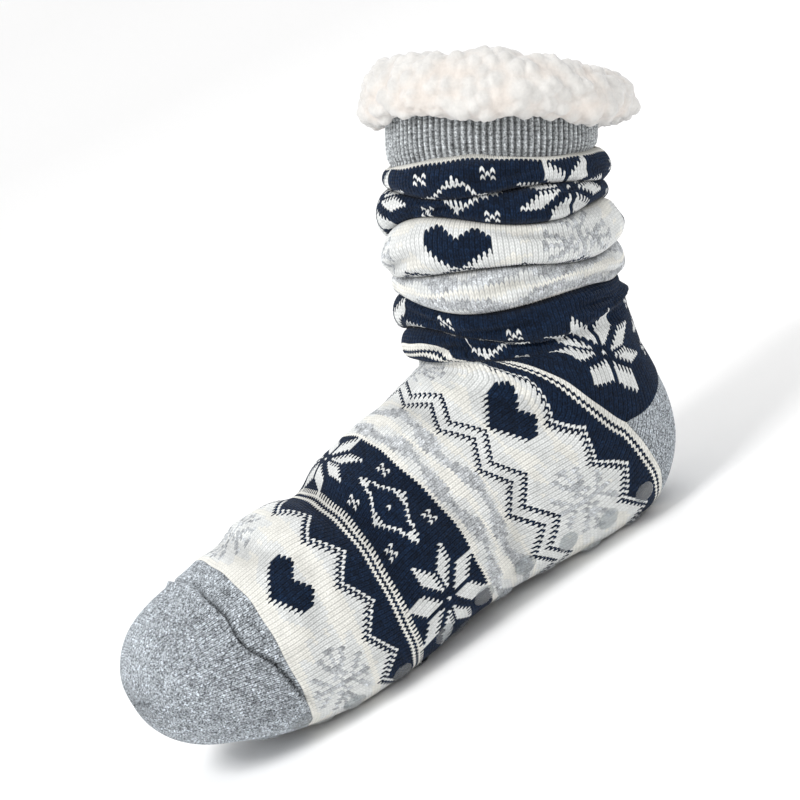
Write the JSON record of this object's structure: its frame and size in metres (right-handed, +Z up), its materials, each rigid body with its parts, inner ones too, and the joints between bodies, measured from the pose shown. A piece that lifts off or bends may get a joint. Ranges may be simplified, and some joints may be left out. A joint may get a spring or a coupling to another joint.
{
  "type": "slipper sock",
  "caption": "Knitted slipper sock: closed toe, heel pocket, slouched patterned shaft, rib cuff, fleece-lined collar roll and grip dots under the sole. It stands on its sole.",
  "frame": {"origin": "on the floor, under the middle of the sock's box", "axes": "+Z up from the floor, +Y from the toe to the heel, +X the side that the picture shows"},
  "size_m": [0.1056, 0.2846, 0.2058],
  "materials": {
    "knit": "jacquard stockinette knit in navy, off-white and grey melange yarn, with a grey rib cuff",
    "sherpa": "curly off-white fleece pile",
    "silicone": "clear bluish silicone, glossy"
  },
  "bodies": {
    "root": {"knit_upper": "knit", "sherpa_collar": "sherpa", "grip_dot_00": "silicone", "grip_dot_01": "silicone", "grip_dot_02": "silicone", "grip_dot_03": "silicone", "grip_dot_04": "silicone", "grip_dot_05": "silicone", "grip_dot_06": "silicone", "grip_dot_07": "silicone", "grip_dot_08": "silicone", "grip_dot_09": "silicone", "grip_dot_10": "silicone", "grip_dot_11": "silicone", "grip_dot_12": "silicone", "grip_dot_13": "silicone", "grip_dot_14": "silicone", "grip_dot_15": "silicone", "grip_dot_16": "silicone", "grip_dot_17": "silicone", "grip_dot_18": "silicone", "grip_dot_19": "silicone", "grip_dot_20": "silicone", "grip_dot_21": "silicone", "grip_dot_22": "silicone", "grip_dot_23": "silicone", "grip_dot_24": "silicone", "grip_dot_25": "silicone", "grip_dot_26": "silicone", "grip_dot_27": "silicone", "grip_dot_28": "silicone", "grip_dot_29": "silicone", "grip_dot_30": "silicone", "grip_dot_31": "silicone", "grip_dot_32": "silicone", "grip_dot_33": "silicone", "grip_dot_34": "silicone", "grip_dot_35": "silicone", "grip_dot_36": "silicone", "grip_dot_37": "silicone", "grip_dot_38": "silicone", "grip_dot_39": "silicone", "grip_dot_40": "silicone", "grip_dot_41": "silicone", "grip_dot_42": "silicone", "grip_dot_43": "silicone", "grip_dot_44": "silicone", "grip_dot_45": "silicone", "grip_dot_46": "silicone", "grip_dot_47": "silicone", "grip_dot_48": "silicone", "grip_dot_49": "silicone", "grip_dot_50": "silicone", "grip_dot_51": "silicone", "grip_dot_52": "silicone", "grip_dot_53": "silicone"}
  },
  "joints": []
}
